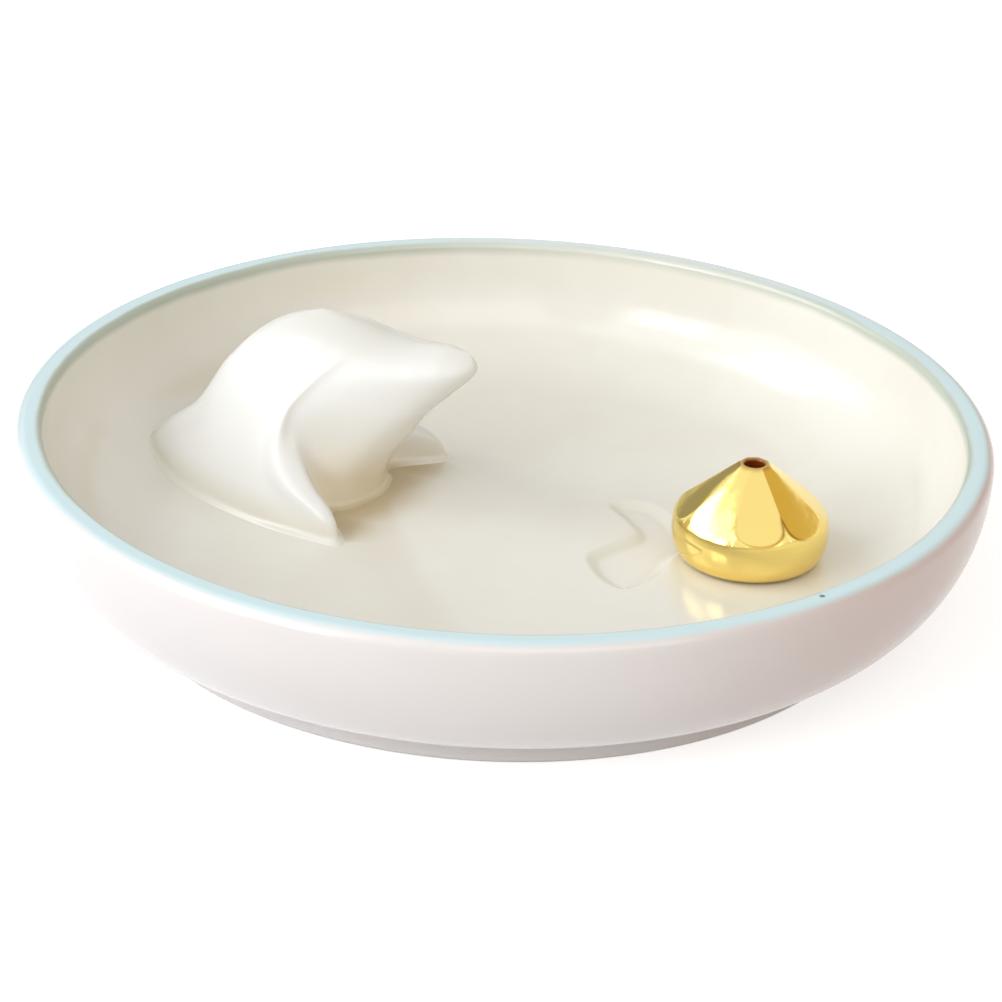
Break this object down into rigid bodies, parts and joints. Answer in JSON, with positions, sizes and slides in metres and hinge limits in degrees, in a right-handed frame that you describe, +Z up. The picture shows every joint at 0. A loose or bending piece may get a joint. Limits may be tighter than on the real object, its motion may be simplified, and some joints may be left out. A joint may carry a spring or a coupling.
{
  "type": "incense holder tray",
  "caption": "Round footed ceramic incense tray with a sea creature figure rising from its floor and a loose faceted metal stick holder.",
  "frame": {"origin": "on the table, under the middle of the dish", "axes": "+Z up out of the dish; +X towards the stick holder's side, -Y towards the viewer of the picture"},
  "size_m": [0.11, 0.11, 0.028],
  "materials": {
    "dish_glaze": "gloss cream glaze, with a pale blue band over the lip",
    "creature_glaze": "gloss white glaze",
    "holder_metal": "polished gold"
  },
  "bodies": {
    "tray": {"dish": "dish_glaze", "sea_creature": "creature_glaze"},
    "stick_holder": {"incense_holder": "holder_metal"}
  },
  "joints": [
    {"name": "holder_lift", "type": "slide", "parent": "tray", "child": "stick_holder", "axis": [0, 0, 1], "range_m": [0, 0.03]}
  ]
}
